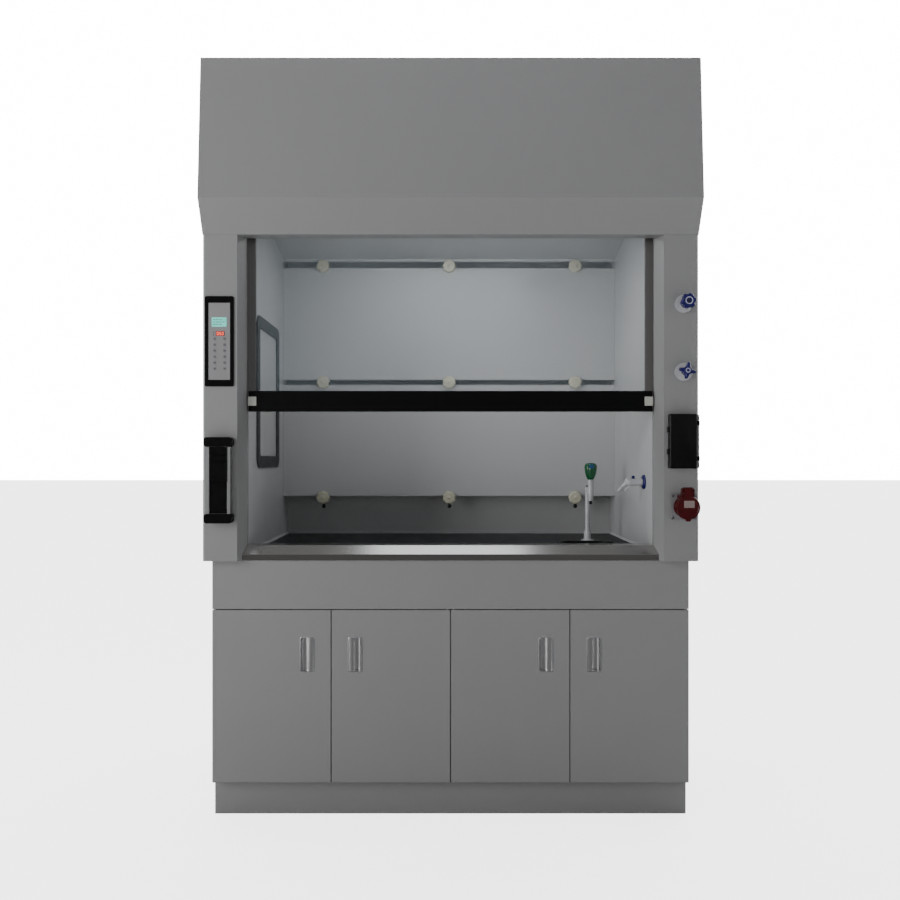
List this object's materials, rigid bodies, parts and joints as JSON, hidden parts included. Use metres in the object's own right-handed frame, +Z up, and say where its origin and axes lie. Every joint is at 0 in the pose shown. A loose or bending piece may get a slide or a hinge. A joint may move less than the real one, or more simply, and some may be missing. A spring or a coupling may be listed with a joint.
{
  "type": "fume hood",
  "caption": "Bench-standing ducted fume hood with a counterbalanced vertical sash, service posts, tap and cup sink over a door-fronted base cabinet.",
  "frame": {"origin": "on the floor, under the middle of the whole outline", "axes": "+X to the user's right, +Y from the user towards the rear panel, +Z up"},
  "size_m": [1.5, 0.865, 2.35],
  "materials": {
    "casing_grey": "satin powder coat",
    "cabinet_grey": "satin powder coat",
    "inner_metal": "satin powder coat",
    "liner": "satin compact laminate",
    "worktop_black": "satin phenolic resin",
    "sink_black": "satin polypropylene",
    "stainless": "brushed along its length",
    "pull_metal": "satin nickel",
    "pivot_steel": "zinc plated",
    "foot_rubber": "matt",
    "knob_cream": "moulded, slightly glossy",
    "lamp_body": "gloss white enamel",
    "clear_glass": "clear toughened glass",
    "gasket_rubber": "satin extruded rubber",
    "sash_aluminium": "satin anodised",
    "handle_black": "black powder coat",
    "plug_grey": "moulded",
    "guide_plastic": "satin",
    "belt_rubber": "toothed, matt",
    "weight_iron": "grey primer",
    "shaft_steel": "ground",
    "bearing_grey": "grey enamel",
    "bezel_black": "fine moulded grain",
    "panel_grey": "printed membrane",
    "strip_aluminium": "satin anodised",
    "strip_black": "satin moulded",
    "flange_white": "moulded",
    "knob_blue": "moulded, glossy",
    "box_grey": "moulded",
    "lid_black": "satin moulded",
    "socket_red": "moulded, glossy",
    "tap_white": "epoxy coated",
    "tap_green": "moulded, glossy"
  },
  "bodies": {
    "root": {"plinth": "cabinet_grey", "levelling_feet": "foot_rubber", "cabinet_panels": "cabinet_grey", "apron": "cabinet_grey", "door_pivots": "pivot_steel", "worktop": "worktop_black", "airfoil_sill": "stainless", "cup_sink": "sink_black", "post_left": "casing_grey", "post_right": "casing_grey", "outer_panels": "casing_grey", "roof_panel": "casing_grey", "canopy": "casing_grey", "liner_left": "liner", "liner_right": "liner", "liner_back": "liner", "ceiling_panel": "inner_metal", "baffle_lower": "liner", "baffle_middle": "liner", "baffle_top": "liner", "baffle_knobs": "knob_cream", "exhaust_plenum": "inner_metal", "exhaust_collar": "inner_metal", "lamp_housing": "lamp_body", "lamp_window": "clear_glass", "hatch_gasket": "gasket_rubber", "hatch_cover": "liner", "sash_guides": "guide_plastic", "sash_belts": "belt_rubber", "shaft_bearings": "bearing_grey", "control_housing": "bezel_black", "control_panel": "panel_grey", "socket_strip": "strip_aluminium", "socket_strip_caps": "strip_black", "valve_flanges": "flange_white", "flip_socket_base": "box_grey", "red_socket_body": "socket_red", "tap_body": "tap_white", "gas_outlet": "tap_white"},
    "sash": {"sash_glass": "clear_glass", "sash_frame": "sash_aluminium", "sash_handle": "handle_black", "sash_end_plugs": "plug_grey"},
    "weights": {"counterweights": "weight_iron"},
    "shaft": {"sync_shaft": "shaft_steel"},
    "idlers": {"idler_pulleys": "shaft_steel"},
    "door_1": {"door_1": "cabinet_grey", "door_pull_1": "pull_metal"},
    "door_2": {"door_2": "cabinet_grey", "door_pull_2": "pull_metal"},
    "door_3": {"door_3": "cabinet_grey", "door_pull_3": "pull_metal"},
    "door_4": {"door_4": "cabinet_grey", "door_pull_4": "pull_metal"},
    "water_knob": {"water_valve_knob": "knob_blue"},
    "gas_knob": {"gas_valve_knob": "knob_blue"},
    "tap_knob": {"tap_handle": "tap_green"},
    "strip_cover": {"socket_strip_cover": "strip_black"},
    "flip_lid": {"flip_socket_lid": "lid_black"},
    "red_lid": {"red_socket_lid": "socket_red"}
  },
  "joints": [
    {"name": "sash_slide", "type": "slide", "parent": "root", "child": "sash", "axis": [0, 0, 1], "range_m": [-0.4085, 0.06]},
    {"name": "weights_slide", "type": "slide", "parent": "root", "child": "weights", "axis": [0, 0, 1], "range_m": [-0.0601, 0.4086]},
    {"name": "shaft_turn", "type": "hinge", "parent": "root", "child": "shaft", "pos_m": [0, -0.2775, 2.24], "axis": [1, 0, 0], "range_deg": [-116, 782]},
    {"name": "idlers_turn", "type": "hinge", "parent": "root", "child": "idlers", "pos_m": [0, -0.2775, 0.86], "axis": [1, 0, 0], "range_deg": [-116, 782]},
    {"name": "door_1_hinge", "type": "hinge", "parent": "root", "child": "door_1", "pos_m": [-0.72, -0.333, 0.37], "axis": [0, 0, -1], "range_deg": [0, 110]},
    {"name": "door_2_hinge", "type": "hinge", "parent": "root", "child": "door_2", "pos_m": [-0.0095, -0.333, 0.37], "axis": [0, 0, 1], "range_deg": [0, 90]},
    {"name": "door_3_hinge", "type": "hinge", "parent": "root", "child": "door_3", "pos_m": [0.0095, -0.333, 0.37], "axis": [0, 0, -1], "range_deg": [0, 90]},
    {"name": "door_4_hinge", "type": "hinge", "parent": "root", "child": "door_4", "pos_m": [0.72, -0.333, 0.37], "axis": [0, 0, 1], "range_deg": [0, 110]},
    {"name": "water_valve_turn", "type": "hinge", "parent": "root", "child": "water_knob", "pos_m": [0.703, -0.4075, 1.565], "axis": [0, -1, 0], "range_deg": [0, 540]},
    {"name": "gas_valve_turn", "type": "hinge", "parent": "root", "child": "gas_knob", "pos_m": [0.703, -0.4075, 1.36], "axis": [0, -1, 0], "range_deg": [0, 360]},
    {"name": "tap_turn", "type": "hinge", "parent": "root", "child": "tap_knob", "pos_m": [0.488, 0.0125, 1.04], "axis": [0, 0, 1], "range_deg": [0, 90]},
    {"name": "strip_cover_slide", "type": "slide", "parent": "root", "child": "strip_cover", "axis": [0, 0, -1], "range_m": [0, 0.095]},
    {"name": "flip_lid_hinge", "type": "hinge", "parent": "root", "child": "flip_lid", "pos_m": [0.74, -0.3875, 1.15], "axis": [0, 0, 1], "range_deg": [0, 120]},
    {"name": "red_lid_hinge", "type": "hinge", "parent": "root", "child": "red_lid", "pos_m": [0.703, -0.4135, 1.005], "axis": [-1, 0, 0], "range_deg": [0, 110]}
  ],
  "couplings": [
    {"joint": "weights_slide", "follows": "sash_slide", "ratio": -1},
    {"joint": "shaft_turn", "follows": "sash_slide", "rad_per_m": -33.333},
    {"joint": "idlers_turn", "follows": "sash_slide", "rad_per_m": -33.333}
  ]
}
